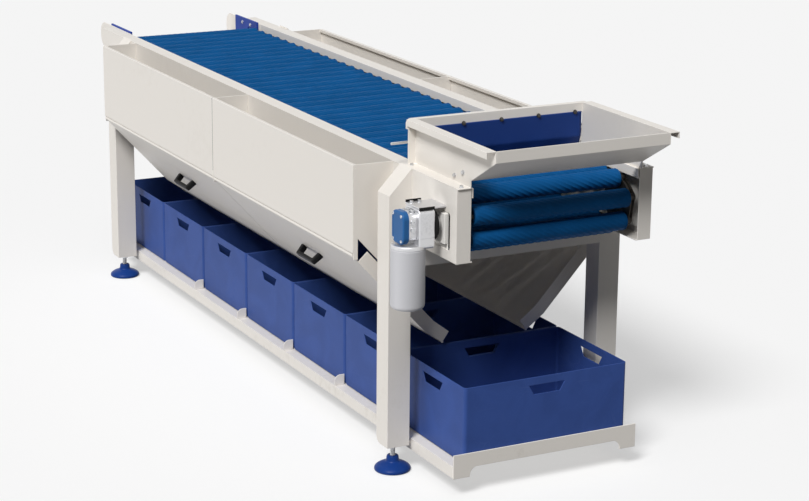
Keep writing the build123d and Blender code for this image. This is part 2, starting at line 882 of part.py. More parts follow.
# Crates: thin-walled plastic tubs with a hand slot in each wall
def make_crate(number):
    middle = crate_near - crate_length / 2 - (crate_count - number) * crate_pitch
    height = crate_top - crate_bottom
    slot = [
        (-slot_top_width / 2, slot_top),
        (slot_top_width / 2, slot_top),
        (slot_bottom_width / 2, slot_bottom),
        (-slot_bottom_width / 2, slot_bottom),
    ]
    with BuildPart() as crate:
        with BuildSketch(Plane.XY.offset(crate_bottom)):
            with Locations((middle, 0)):
                RectangleRounded(crate_length, crate_width, crate_corner)
        extrude(amount=height)
        with BuildSketch(Plane.XY.offset(crate_bottom + crate_wall)):
            with Locations((middle, 0)):
                RectangleRounded(
                    crate_length - 2 * crate_wall, crate_width - 2 * crate_wall, crate_corner - crate_wall
                )
        extrude(amount=height, mode=Mode.SUBTRACT)
        with BuildSketch(Plane.YZ.offset(middle)):
            Polygon(*slot, align=None)
        extrude(amount=crate_length, both=True, mode=Mode.SUBTRACT)
        with BuildSketch(facing_y(0)):
            Polygon(*[(middle + x, z) for x, z in slot], align=None)
        extrude(amount=crate_width, both=True, mode=Mode.SUBTRACT)
    keep(crate, f"crate_{number}")


for number in range(1, crate_count + 1):
    make_crate(number)

# Tray deck: sheet under the crates with folded skirts along both sides, and blocks to the posts
with BuildPart() as tray_deck:
    deck_bottom = deck_top - deck_skirt
    deck = [
        (-deck_half, deck_bottom),
        (-deck_half, deck_top),
        (deck_half, deck_top),
        (deck_half, deck_bottom),
        (deck_half - sheet, deck_bottom),
        (deck_half - sheet, deck_top - sheet),
        (sheet - deck_half, deck_top - sheet),
        (sheet - deck_half, deck_bottom),
    ]
    with BuildSketch(Plane.YZ.offset(tray_far)):
        Polygon(*deck, align=None)
    extrude(amount=tray_near - tray_far)
    hanger_z = post_bottom + hanger_height / 2
    for end in ENDS.values():
        for side in SIDES.values():
            with BuildSketch(facing_y(side * deck_half)):
                with Locations((end * post_x + end * post_corner / 2, hanger_z)):
                    Rectangle(hanger_length - post_corner, hanger_height)
            extrude(amount=-side * hanger_width)
keep(tray_deck, "tray_deck")

# Tray ends: upright plates with an arch between two feet
with BuildPart() as tray_ends:
    for start in (tray_far - tray_end_sheet, tray_near):
        with BuildSketch(Plane.YZ.offset(start)) as plate:
            Polygon(
                (-deck_half, tray_end_bottom),
                (-deck_half, tray_end_top),
                (deck_half, tray_end_top),
                (deck_half, tray_end_bottom),
                (arch_half, tray_end_bottom),
                (arch_half, arch_top),
                (-arch_half, arch_top),
                (-arch_half, tray_end_bottom),
                align=None,
            )
            for side in SIDES.values():
                corner = plate.vertices().sort_by_distance((side * arch_half, arch_top))[0]
                fillet(corner, arch_corner)
        extrude(amount=tray_end_sheet)
keep(tray_ends, "tray_ends")

# Tray fins: small upright dividers on the deck's edges between neighbouring crates
with BuildPart() as tray_fins:
    fin = [
        (fin_inner, deck_top),
        (deck_half, deck_top),
        (deck_half, tray_end_top),
        (fin_inner, tray_end_top),
    ]
    for number in range(1, fin_count + 1):
        seam = crate_near - number * crate_pitch + crate_gap / 2
        for side in SIDES.values():
            with BuildSketch(Plane.YZ.offset(seam - fin_sheet / 2)) as blade:
                Polygon(*on_side(fin, side), align=None)
                corner = blade.vertices().sort_by_distance((side * deck_half, tray_end_top))[0]
                fillet(corner, fin_round)
            extrude(amount=fin_sheet)
keep(tray_fins, "tray_fins")

# Outfeed cheeks: rounded side plates past the rollers, cut clear of the chains and their run-out
runout_far = tail_x - first_pin - plate_radius - chain_sweep_gap
runout_top = shaft_z + chain_sweep
runout_middle = ((runout_far + cheek_near) / 2, (cheek_bottom + runout_top) / 2)
with BuildPart() as outfeed_cheeks:
    for side in SIDES.values():
        with BuildSketch(facing_y(side * rail_inner)) as cheek:
            Polygon(
                (cheek_far, cheek_bottom),
                (cheek_near, cheek_bottom),
                (cheek_near, rail_top),
                (cheek_far, rail_top),
                align=None,
            )
            fillet(cheek.vertices().group_by(Axis.X)[0], cheek_round)
            with Locations((tail_x, shaft_z)):
                Circle(chain_sweep, mode=Mode.SUBTRACT)
            with Locations(runout_middle):
                Rectangle(cheek_near - runout_far, runout_top - cheek_bottom, mode=Mode.SUBTRACT)
        extrude(amount=side * cheek_sheet)
keep(outfeed_cheeks, "outfeed_cheeks")

# Outfeed guides: blue plastic plates bolted inside the cheeks
guide_face = rail_inner - cheek_sheet
with BuildPart() as outfeed_guides:
    for side in SIDES.values():
        with BuildSketch(facing_y(side * guide_face)):
            Polygon(
                (guide_plate_far, guide_plate_bottom),
                (guide_plate_near, guide_plate_bottom),
                (guide_plate_near, guide_plate_top),
                (guide_plate_far, guide_plate_top),
                align=None,
            )
            with Locations((tail_x, shaft_z)):
                Circle(chain_sweep, mode=Mode.SUBTRACT)
            with Locations(runout_middle):
                Rectangle(cheek_near - runout_far, runout_top - cheek_bottom, mode=Mode.SUBTRACT)
        extrude(amount=side * guide_plate)
keep(outfeed_guides, "outfeed_guides")

# Outfeed slide: sloping sheet between the cheeks, just past the last rollers
slide_near = tail_x - chain_sweep - roller_radius
slide_top = shaft_z + wheel_pitch_radius
with BuildPart() as outfeed_slide:
    with BuildSketch(facing_y(0)):
        Polygon(
            (slide_near, slide_top),
            (slide_near, slide_top - sheet),
            (cheek_far + cheek_round, slide_top - sheet - slide_drop),
            (cheek_far + cheek_round, slide_top - slide_drop),
            align=None,
        )
    extrude(amount=guide_face - guide_plate, both=True)
keep(outfeed_slide, "outfeed_slide")


# Bolt heads: on the hopper's seat flanges and walls, flap, outfeed guides and torque bracket
with BuildPart() as bolts:
    seat_y = (hopper_outer + rail_outer) / 2
    seat_bolts = [
        (x, side * seat_y)
        for x in (hopper_far + seat_bolt_inset, hopper_throat_x - seat_bolt_inset)
        for side in SIDES.values()
    ]
    with BuildSketch(Plane.XY.offset(hopper_seat)):
        with Locations(*seat_bolts):
            RegularPolygon(bolt_radius, 6)
    extrude(amount=bolt_height)
    wall_bolt_x = hopper_throat_x - wall_bolt_back
    wall_bolt_z = rail_top + wall_bolt_rise
    wall_bolts = [
        (wall_bolt_x, wall_bolt_z),
        (wall_bolt_x + wall_bolt_step, wall_bolt_z + wall_bolt_climb),
    ]
    for side in SIDES.values():
        with BuildSketch(facing_y(side * hopper_outer)):
            with Locations(*wall_bolts):
                RegularPolygon(bolt_radius, 6)
        extrude(amount=-side * bolt_height)
    with BuildSketch(Plane.YZ.offset(hopper_far + flap_thickness)):
        with Locations((0, flap_top)):
            with GridLocations(flap_bolt_spacing, 1, flap_bolt_count, 1):
                RegularPolygon(bolt_radius, 6)
    extrude(amount=bolt_height)
    guide_bolt_x = (guide_plate_far + cheek_near - guide_bolt_spacing) / 2
    guide_bolt_z = (rail_top + shaft_z + chain_sweep) / 2
    for side in SIDES.values():
        with BuildSketch(facing_y(side * (guide_face - guide_plate))):
            with Locations((guide_bolt_x, guide_bolt_z), (guide_bolt_x + guide_bolt_spacing, guide_bolt_z)):
                RegularPolygon(bolt_radius, 6)
        extrude(amount=side * bolt_height / 2)
    with BuildSketch(Plane.XY.offset(gear_top + bracket_plate)):
        with Locations((drive_x - bracket_length / 2 + 2 * bolt_radius, -(gear_inner + gear_outer) / 2)):
            with GridLocations(1, gear_width / 2, 1, 2):
                RegularPolygon(bolt_radius, 6)
    extrude(amount=bolt_height)
keep(bolts, "bolts")
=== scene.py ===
import json
from math import cos, pi, radians, sin

import bmesh
import bpy
from mathutils import Matrix, Vector


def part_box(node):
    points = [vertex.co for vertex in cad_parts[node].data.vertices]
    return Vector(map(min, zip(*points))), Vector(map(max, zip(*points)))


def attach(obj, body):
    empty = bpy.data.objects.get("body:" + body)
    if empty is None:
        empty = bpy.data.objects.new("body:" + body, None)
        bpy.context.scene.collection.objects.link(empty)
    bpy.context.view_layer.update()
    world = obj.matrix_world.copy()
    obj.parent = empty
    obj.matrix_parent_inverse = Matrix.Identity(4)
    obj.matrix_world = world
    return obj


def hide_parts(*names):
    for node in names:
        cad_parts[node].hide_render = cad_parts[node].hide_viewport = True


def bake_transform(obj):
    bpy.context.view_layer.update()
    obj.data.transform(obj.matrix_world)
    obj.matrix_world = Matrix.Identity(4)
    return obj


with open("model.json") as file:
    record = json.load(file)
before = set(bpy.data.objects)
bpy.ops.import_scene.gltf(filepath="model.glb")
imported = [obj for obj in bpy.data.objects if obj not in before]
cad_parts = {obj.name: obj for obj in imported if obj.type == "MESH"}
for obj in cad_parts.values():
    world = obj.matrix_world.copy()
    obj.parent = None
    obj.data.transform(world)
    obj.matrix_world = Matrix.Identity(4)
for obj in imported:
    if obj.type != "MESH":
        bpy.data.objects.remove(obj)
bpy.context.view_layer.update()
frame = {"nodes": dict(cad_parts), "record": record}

# Posts
# Four square steel sections with a sloping welded top, standing on the levelling feet. They are
# powder coated in a light warm grey, like all the folded sheet of the table.
body_of = {node: body for body, nodes in frame["record"]["behaviour"]["bodies"].items() for node in nodes}
slot_of = {part["node"]: part["material_slot"] for part in frame["record"]["subparts"]}


def linear(red, green, blue):
    """A colour written as 0 to 255 display values, as the shader takes it."""
    shares = [value / 255 for value in (red, green, blue)]
    return [s / 12.92 if s < 0.04045 else ((s + 0.055) / 1.055) ** 2.4 for s in shares] + [1.0]


def supply(tree, socket, value):
    """Link an output socket to an input socket, or set a plain value on it."""
    if isinstance(value, bpy.types.NodeSocket):
        tree.links.new(value, socket)
    else:
        socket.default_value = value


def add(tree, kind, settings=None, **inputs):
    """Add a shader node: plain values are set on its sockets and output sockets are linked to them."""
    made = tree.nodes.new(kind)
    for name, value in (settings or {}).items():
        setattr(made, name, value)
    for name, value in inputs.items():
        supply(tree, made.inputs[name.replace("_", " ")], value)
    return made


def arithmetic(tree, operation, first, second):
    """Output of a Math node on two values or sockets."""
    made = add(tree, "ShaderNodeMath", {"operation": operation})
    for socket, value in zip(made.inputs, (first, second)):
        supply(tree, socket, value)
    return made.outputs[0]


def between(tree, share, first, second):
    """Output of a colour Mix node: the first colour where the share is 0, the second where it is 1."""
    made = add(tree, "ShaderNodeMix", {"data_type": "RGBA"}, Factor=share, A=first, B=second)
    return made.outputs["Result"]


def ranged(tree, value, low, high, low_out, high_out):
    """Output of a smooth Map Range node."""
    made = add(
        tree, "ShaderNodeMapRange", {"interpolation_type": "SMOOTHSTEP"},
        Value=value, From_Min=low, From_Max=high, To_Min=low_out, To_Max=high_out,
    )
    return made.outputs[0]


def effect(name, inputs, outputs):
    """An empty shader node group with named sockets, with its input and output nodes."""
    tree = bpy.data.node_groups.new(name, "ShaderNodeTree")
    for socket, kind in inputs.items():
        tree.interface.new_socket(name=socket, in_out="INPUT", socket_type=kind)
    for socket, kind in outputs.items():
        tree.interface.new_socket(name=socket, in_out="OUTPUT", socket_type=kind)
    return tree, add(tree, "NodeGroupInput").outputs, add(tree, "NodeGroupOutput").inputs


def placed(tree, group, **inputs):
    """Outputs of a node group placed in a material."""
    return add(tree, "ShaderNodeGroup", {"node_tree": group}, **inputs).outputs


# Soft uneven skin of a sprayed coat: broad waves under a fine grain
coat_skin, given, put = effect(
    "coat skin",
    {"Vector": "NodeSocketVector", "Grain": "NodeSocketFloat"},
    {"Height": "NodeSocketFloat"},
)
fine = add(coat_skin, "ShaderNodeTexNoise", Vector=given["Vector"], Scale=given["Grain"], Detail=2.0)
waves_to_grain = 0.07
wave_scale = arithmetic(coat_skin, "MULTIPLY", given["Grain"], waves_to_grain)
wave = add(coat_skin, "ShaderNodeTexNoise", Vector=given["Vector"], Scale=wave_scale, Detail=1.0)
skin_height = arithmetic(coat_skin, "ADD", fine.outputs[0], wave.outputs[0])
coat_skin.links.new(skin_height, put["Height"])

# Dust and hand marks: large clouds broken up by small ones
hand_marks, given, put = effect(
    "hand marks",
    {"Vector": "NodeSocketVector", "Scale": "NodeSocketFloat", "Cover": "NodeSocketFloat"},
    {"Mask": "NodeSocketFloat"},
)
cloud = add(
    hand_marks, "ShaderNodeTexNoise",
    Vector=given["Vector"], Scale=given["Scale"], Detail=5.0, Distortion=0.4,
)
specks_to_clouds = 11.0
speck_scale = arithmetic(hand_marks, "MULTIPLY", given["Scale"], specks_to_clouds)
speck = add(
    hand_marks, "ShaderNodeTexNoise",
    Vector=given["Vector"], Scale=speck_scale, Detail=4.0, Roughness=0.7,
)
broken = arithmetic(hand_marks, "MULTIPLY", cloud.outputs[0], speck.outputs[0])
bare_level = 0.42
cover_reach = 0.25
full_level = 0.48
reach = arithmetic(hand_marks, "MULTIPLY", given["Cover"], cover_reach)
mark_level = arithmetic(hand_marks, "SUBTRACT", bare_level, reach)
marked = add(hand_marks, "ShaderNodeMapRange", Value=broken, From_Min=mark_level, From_Max=full_level)
hand_marks.links.new(marked.outputs[0], put["Mask"])


def blank_finish(name):
    """A new material with its node tree, its shader and the Object coordinates."""
    material = bpy.data.materials.new(name)
    material.use_nodes = True
    tree = material.node_tree
    return material, tree, tree.nodes["Principled BSDF"], add(tree, "ShaderNodeTexCoord").outputs["Object"]


def feed(tree, shader, colour, roughness, height, depth):
    """Link a colour, a roughness and a bump height of the given depth in metres to the shader."""
    tree.links.new(colour, shader.inputs["Base Color"])
    tree.links.new(roughness, shader.inputs["Roughness"])
    bump = add(tree, "ShaderNodeBump", Height=height, Distance=depth, Strength=0.6)
    tree.links.new(bump.outputs[0], shader.inputs["Normal"])


def powder_coat(name, colour, dust, edge_wear_and_highlight_colour):
    """Satin powder coat: fine skin, faint dust, and paler folded edges, partly a thinner coat and partly a
    painted highlight.
    """
    material, tree, shader, place = blank_finish(name)
    skin = placed(tree, coat_skin, Vector=place, Grain=700.0)["Height"]
    marks = placed(tree, hand_marks, Vector=place, Scale=2.6, Cover=0.5)["Mask"]
    height = add(tree, "ShaderNodeSeparateXYZ", Vector=place).outputs["Z"]
    near_floor = ranged(tree, height, low=0.06, high=0.42, low_out=0.3, high_out=0.05)
    dusty = arithmetic(tree, "MULTIPLY", marks, near_floor)
    # Folded edges turn paler: partly a thinner, rubbed coat and partly a painted highlight along the bends.
    fold = add(tree, "ShaderNodeAttribute", {"attribute_name": "edge"}).outputs["Fac"]
    rubbed = add(tree, "ShaderNodeTexNoise", Vector=place, Scale=45.0, Detail=4.0)
    wear = ranged(tree, rubbed.outputs[0], low=0.35, high=0.7, low_out=0.25, high_out=1.0)
    wear_and_highlight = arithmetic(tree, "MULTIPLY", fold, wear)
    coated = between(tree, dusty, linear(*colour), linear(*dust))
    whole = between(tree, wear_and_highlight, coated, linear(*edge_wear_and_highlight_colour))
    dull = ranged(tree, marks, low=0.0, high=1.0, low_out=0.42, high_out=0.6)
    feed(tree, shader, whole, dull, skin, depth=0.00012)
    return material


def rounded(bm, edges, width, steps):
    """Round edges of a bmesh and return the new faces."""
    return bmesh.ops.bevel(
        bm, geom=list(edges), offset=width, offset_type="OFFSET", segments=steps, profile=0.5,
        affect="EDGES", clamp_overlap=True, material=-1,
    )["faces"]


weld_distance = 0.00001


def folded(node, bend, steps=3, sharpest=30):
    """A copy of a CAD node with its triangles joined and its hard edges rounded to a bend radius."""
    bm = bmesh.new()
    bm.from_mesh(frame["nodes"][node].data)
    bmesh.ops.remove_doubles(bm, verts=bm.verts, dist=weld_distance)
    bmesh.ops.dissolve_limit(bm, angle_limit=radians(1), verts=bm.verts, edges=bm.edges)
    mark = bm.faces.layers.float.new("edge")
    hard = [edge for edge in bm.edges if edge.is_manifold and edge.calc_face_angle() > radians(sharpest)]
    for face in rounded(bm, hard, bend, steps):
        face[mark] = 1.0
    return bm


def mesh_of(bm, name):
    """Turn a bmesh into a mesh and free it."""
    mesh = bpy.data.meshes.new(name)
    bm.to_mesh(mesh)
    bm.free()
    return mesh


def finished(name, bm, material, body, slot, *stands_for):
    """Make a piece of a bmesh, ride it on its body and let it stand for CAD nodes."""
    mesh = mesh_of(bm, name)
    if "custom_normal" in mesh.attributes:
        mesh.attributes.remove(mesh.attributes["custom_normal"])
    mesh.materials.append(material)
    mesh.shade_smooth()
    mesh.set_sharp_from_angle(angle=radians(38))
    piece = bpy.data.objects.new(name, mesh)
    bpy.context.scene.collection.objects.link(piece)
    if body:
        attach(piece, body)
    if stands_for:
        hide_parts(*stands_for)
    return piece


def even_shading(piece):
    """Let the large flat faces set the shading of a piece with rounded edges."""
    level = piece.modifiers.new("even shading", "WEIGHTED_NORMAL")
    level.keep_sharp = True
    return piece


def folded_piece(node, bend, material):
    """A softened copy of one CAD node that stands for it."""
    name = f"folded_{node}"
    return even_shading(finished(name, folded(node, bend), material, body_of[node], slot_of[node], node))


table_paint = powder_coat("warm grey coat", (229, 224, 217), (176, 168, 156), (236, 232, 226))
post_bend = 0.003
posts = [f"post_{end}_{side}" for end in ("far", "near") for side in ("left", "right")]
for post in posts:
    folded_piece(post, post_bend, table_paint)

# Levelling feet
# A blue moulded pad with a flared neck turns on a threaded zinc-plated stem, which screws into the
# post's bottom plate and is held by a lock nut.
cut_distance = 0.000001


def turned(profile, centre, axis, steps):
    """A turned shape from (radius, distance along the axis) points given from end to end."""
    bm = bmesh.new()
    across = axis.orthogonal().normalized()
    points = [bm.verts.new(centre + across * radius + axis * along) for radius, along in profile]
    edges = [bm.edges.new(pair) for pair in zip(points, points[1:])]
    bmesh.ops.spin(
        bm, geom=points + edges, cent=centre, axis=axis, angle=2 * pi, steps=steps, use_merge=True
    )
    bmesh.ops.remove_doubles(bm, verts=bm.verts, dist=cut_distance)
    bmesh.ops.recalc_face_normals(bm, faces=bm.faces)
    return bm


# Moulded grain: fine sparks of the mould with slow flow marks
mould_grain, given, put = effect(
    "mould grain",
    {"Vector": "NodeSocketVector", "Grain": "NodeSocketFloat", "Flow": "NodeSocketFloat"},
    {"Height": "NodeSocketFloat", "Flow": "NodeSocketFloat"},
)
spark = add(mould_grain, "ShaderNodeTexVoronoi", Vector=given["Vector"], Scale=given["Grain"])
flow = add(
    mould_grain, "ShaderNodeTexNoise",
    Vector=given["Vector"], Scale=given["Flow"], Detail=3.0, Distortion=1.2,
)
mould_grain.links.new(spark.outputs[0], put["Height"])
mould_grain.links.new(flow.outputs[0], put["Flow"])

# Scratches: long thin cells laid two ways, only their borders showing
scratches, given, put = effect(
    "scratches",
    {"Vector": "NodeSocketVector", "Scale": "NodeSocketFloat", "Width": "NodeSocketFloat"},
    {"Mask": "NodeSocketFloat"},
)
lines = []
for stretch, turn in (((1.0, 0.12, 0.3), (0.3, 0.2, 0.5)), ((0.1, 1.0, 0.4), (0.1, 0.5, 0.9))):
    way = add(scratches, "ShaderNodeMapping", Vector=given["Vector"], Scale=stretch, Rotation=turn)
    cells = add(
        scratches, "ShaderNodeTexVoronoi", {"feature": "DISTANCE_TO_EDGE"},
        Vector=way.outputs[0], Scale=given["Scale"],
    )
    lines.append(arithmetic(scratches, "LESS_THAN", cells.outputs[0], given["Width"]))
patchy = add(scratches, "ShaderNodeTexNoise", Vector=given["Vector"], Scale=9.0, Detail=2.0)
either = arithmetic(scratches, "MAXIMUM", *lines)
patches = ranged(scratches, patchy.outputs[0], low=0.5, high=0.7, low_out=0.0, high_out=1.0)
shown = arithmetic(scratches, "MULTIPLY", either, patches)
scratches.links.new(shown, put["Mask"])


def moulded_plastic(name, colour, scuffed, roughness, scuff_share, grain_depth, sheen=0.12):
    """Moulded plastic: grain, slow flow marks in the colour, dull marks and fine pale scratches."""
    material, tree, shader, place = blank_finish(name)
    shader.inputs["Specular IOR Level"].default_value = sheen
    grain = placed(tree, mould_grain, Vector=place, Grain=900.0, Flow=7.0)
    lines = placed(tree, scratches, Vector=place, Scale=30.0, Width=0.012)["Mask"]
    marks = placed(tree, hand_marks, Vector=place, Scale=5.0, Cover=0.4)["Mask"]
    flow_shade = 0.86
    shade = [part * flow_shade for part in linear(*colour)[:3]] + [1.0]
    flow_share = ranged(tree, grain["Flow"], low=0.3, high=0.7, low_out=0.0, high_out=1.0)
    base = between(tree, flow_share, shade, linear(*colour))
    scuffs = arithmetic(tree, "MULTIPLY", arithmetic(tree, "MAXIMUM", lines, marks), scuff_share)
    whole = between(tree, scuffs, base, linear(*scuffed))
    dull = ranged(tree, marks, low=0.0, high=1.0, low_out=roughness, high_out=roughness + 0.14)
    feed(tree, shader, whole, dull, grain["Height"], depth=grain_depth)
    return material


def plated_steel(name, colour, roughness, tarnish):
    """Plated or oiled steel: directional polish lines and darker tarnish clouds."""
    material, tree, shader, place = blank_finish(name)
    shader.inputs["Metallic"].default_value = 1.0
    drawn = add(tree, "ShaderNodeMapping", Vector=place, Scale=(1.0, 1.0, 14.0))
    polish = add(tree, "ShaderNodeTexNoise", Vector=drawn.outputs[0], Scale=160.0, Detail=3.0)
    clouds = placed(tree, hand_marks, Vector=place, Scale=14.0, Cover=0.6)["Mask"]
    tarnish_share = 0.5
    tarnished = arithmetic(tree, "MULTIPLY", clouds, tarnish_share)
    whole = between(tree, tarnished, linear(*colour), linear(*tarnish))
    lines = polish.outputs[0]
    dull = ranged(tree, lines, low=0.3, high=0.7, low_out=roughness, high_out=roughness + 0.16)
    feed(tree, shader, whole, dull, lines, depth=0.00008)
    return material


foot_plastic = moulded_plastic(
    "blue foot plastic", (22, 58, 128), (90, 110, 160),
    roughness=0.36, scuff_share=0.1, grain_depth=0.00008,
)
zinc = plated_steel("zinc plate", (205, 206, 208), roughness=0.22, tarnish=(140, 138, 134))
pad_rim = 0.009
pad_round = 0.003
dome_edge = 0.002
dome_start = 0.004
dome_slope = {0.8: 0.011, 0.6: 0.016}
flare_width = 0.004
flare_height = 0.019
flare_end = 0.001
flare_top = 0.022
nut_round = 0.001
stem_fit = 0.001
stem_seat = 0.006
thread_depth = 0.0008
neck_radius = 0.019
neck_top = 0.050
neck_round = 0.005
neck_shoulder = 0.002
shoulder_drop = 0.001
neck_rim = 0.006
stem_radius = 0.008
thread_pitch = 0.002
nut_radius = 0.015
nut_height = 0.011
up = Vector((0, 0, 1))
for post in posts:
    foot = post.replace("post", "foot")
    low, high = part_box(foot)
    pad_radius = (high.x - low.x) / 2
    centre = Vector(((low.x + high.x) / 2, (low.y + high.y) / 2, low.z))
    pad_profile = [
        (0, 0),
        (pad_radius - pad_round, 0),
        (pad_radius, pad_round),
        (pad_radius, pad_rim),
        (pad_radius - dome_edge, pad_rim + dome_start),
        *[(pad_radius * share, pad_rim + rise) for share, rise in dome_slope.items()],
        (neck_radius + flare_width, pad_rim + flare_height),
        (neck_radius + flare_end, pad_rim + flare_top),
        (neck_radius, neck_top - neck_round),
        (neck_radius - neck_shoulder, neck_top - shoulder_drop),
        (neck_radius - neck_rim, neck_top),
        (stem_radius + stem_fit, neck_top),
        (stem_radius + stem_fit, neck_top - stem_seat),
        (0, neck_top - stem_seat),
    ]
    pad = turned(pad_profile, centre, up, steps=40)
    smooth_pad = finished(f"moulded_{foot}", pad, foot_plastic, foot, "foot_plastic", foot)
    rounding = smooth_pad.modifiers.new("mould rounding", "SUBSURF")
    rounding.levels = 1
    rounding.render_levels = 1
    stem_start = neck_top - stem_seat + stem_fit
    turns = int((high.z - low.z - stem_start) / thread_pitch)
    stem_profile = [(0, stem_start)]
    for turn in range(turns):
        stem_profile.append((stem_radius - thread_depth, stem_start + turn * thread_pitch))
        stem_profile.append((stem_radius, stem_start + (turn + 0.5) * thread_pitch))
    stem_profile.append((0, stem_start + turns * thread_pitch))
    stem = turned(stem_profile, centre, up, steps=20)
    post_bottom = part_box(post)[0].z
    nut = bmesh.ops.create_cone(
        stem, cap_ends=True, segments=6, radius1=nut_radius, radius2=nut_radius, depth=nut_height
    )["verts"]
    bmesh.ops.translate(stem, vec=(centre.x, centre.y, post_bottom - nut_height / 2), verts=nut)
    rims = {edge for vert in nut for edge in vert.link_edges}
    rounded(stem, rims, nut_round, steps=2)
    finished(f"threaded_stem_{foot}", stem, zinc, foot, "bare_steel")

# Cross members, side rails and chain guides
# Folded steel channels between the posts and along the bed, coated like the posts, with green slide
# plastic angles screwed inside the rails to carry the chains.
sheet_bend = 0.0012
for channel in ("cross_members", "rail_left", "rail_right"):
    folded_piece(channel, sheet_bend, table_paint)


def dress(material, *nodes):
    """Give CAD nodes whose shape is right a finish."""
    for node in nodes:
        for holder in frame["nodes"][node].material_slots:
            holder.material = material


slide_plastic = moulded_plastic(
    "green slide plastic", (88, 122, 94), (140, 160, 140),
    roughness=0.5, scuff_share=0.2, grain_depth=0.00006,
)
dress(slide_plastic, "chain_guides")

# Rollers
# Blue plastic tubes with low spiral ribs, seventy-eight of them turning on axles between two chains.
# Each has chamfered ends with a recessed bearing seat.


def solids_of(node):
    """Lowest and highest corner of each separate solid of a CAD node, in order along X."""
    bm = bmesh.new()
    bm.from_mesh(frame["nodes"][node].data)
    bmesh.ops.remove_doubles(bm, verts=bm.verts, dist=weld_distance)
    seen = set()
    boxes = []
    for start in bm.verts:
        if start.index in seen:
            continue
        seen.add(start.index)
        waiting = [start]
        corners = []
        while waiting:
            vert = waiting.pop()
            corners.append(vert.co.copy())
            for edge in vert.link_edges:
                other = edge.other_vert(vert)
                if other.index not in seen:
                    seen.add(other.index)
                    waiting.append(other)
        low = Vector([min(corner[k] for corner in corners) for k in range(3)])
        high = Vector([max(corner[k] for corner in corners) for k in range(3)])
        boxes.append((low, high))
    bm.free()
    return sorted(boxes, key=lambda box: tuple(round(v, 4) for v in box[0]))


def stamp(bm, shape, place):
    """Add a copy of a finished mesh to a bmesh where a matrix puts it."""
    before = len(bm.verts)
    bm.from_mesh(shape)
    bm.verts.ensure_lookup_table()
    bmesh.ops.transform(bm, matrix=place, verts=bm.verts[before:])


def step_in(bm, rim, radius, along):
    """Extrude a rim of a tube lying along Y to a ring of the given radius and place, and return it."""
    grown = bmesh.ops.extrude_edge_only(bm, edges=rim)["geom"]
    for vert in [item for item in grown if isinstance(item, bmesh.types.BMVert)]:
        out = Vector((vert.co.x, 0, vert.co.z)).normalized() * radius
        vert.co = (out.x, along, out.z)
    return [item for item in grown if isinstance(item, bmesh.types.BMEdge)]


roller_ribs = 14
rib_depth = 0.0016
rib_turns = 1.5
rib_steps = 44
end_chamfer = 0.002
seat_radius = 0.021
seat_depth = 0.004
seat_taper = 0.001
bore_radius = 0.00805
first_low, first_high = solids_of("carry_rollers")[0]
roller_radius = (first_high.z - first_low.z) / 2
roller_half = (first_high.y - first_low.y) / 2
roller = bmesh.new()
ring = bmesh.ops.create_circle(
    roller, cap_ends=False, radius=roller_radius, segments=2 * roller_ribs
)["verts"]
for vert in ring[::2]:
    vert.co *= 1 - rib_depth / roller_radius
bmesh.ops.rotate(roller, matrix=Matrix.Rotation(pi / 2, 3, "X"), verts=ring)
body_half = roller_half - end_chamfer
bmesh.ops.translate(roller, vec=(0, -body_half, 0), verts=ring)
bmesh.ops.spin(
    roller, geom=roller.verts[:] + roller.edges[:], cent=(0, 0, 0), axis=(0, 1, 0),
    dvec=(0, 2 * body_half / rib_steps, 0), angle=rib_turns * 2 * pi, steps=rib_steps,
)
bores = []
for direction in (-1, 1):
    rim = [edge for edge in roller.edges if edge.is_boundary and edge.verts[0].co.y * direction > 0]
    rim = step_in(roller, rim, roller_radius - end_chamfer, direction * roller_half)
    rim = step_in(roller, rim, seat_radius, direction * roller_half)
    rim = step_in(roller, rim, seat_radius - seat_taper, direction * (roller_half - seat_depth))
    bores += step_in(roller, rim, bore_radius, direction * (roller_half - seat_depth))
bmesh.ops.bridge_loops(roller, edges=bores)
bmesh.ops.recalc_face_normals(roller, faces=roller.faces)
roller_shape = mesh_of(roller, "one roller")
roller_plastic = moulded_plastic(
    "blue roller tube", (15, 82, 138), (50, 105, 155),
    roughness=0.5, scuff_share=0.1, grain_depth=0.00005, sheen=0.05,
)
for run in ("carry", "return", "drive", "tail"):
    bm = bmesh.new()
    for low, high in solids_of(f"{run}_rollers"):
        stamp(bm, roller_shape, Matrix.Translation((low + high) / 2))
    body = body_of[f"{run}_rollers"]
    finished(f"ribbed_{run}_rollers", bm, roller_plastic, body, "roller_plastic", f"{run}_rollers")

# Chains, wheels and shafts
# Roller chains of oiled steel link plates and bushes carry the roller axles over toothed wheels that
# are keyed to two ground shafts.
oiled_steel = plated_steel("oiled chain steel", (92, 89, 85), roughness=0.36, tarnish=(44, 40, 36))
dress(oiled_steel, *[f"{run}_chains" for run in ("carry", "return", "drive", "tail")])
dress(oiled_steel, "drive_wheels", "tail_wheels")
dress(zinc, "drive_shaft", "tail_shaft")

# Shaft bearings
# Take-up blocks that slide in the rails' slots at the drive end and round flanged housings at the
# tail, machined and coated pale grey.
bearing_paint = powder_coat("bearing coat", (238, 235, 230), (160, 154, 146), (246, 244, 240))
block_bend = 0.0015
folded_piece("shaft_bearings", block_bend, bearing_paint)
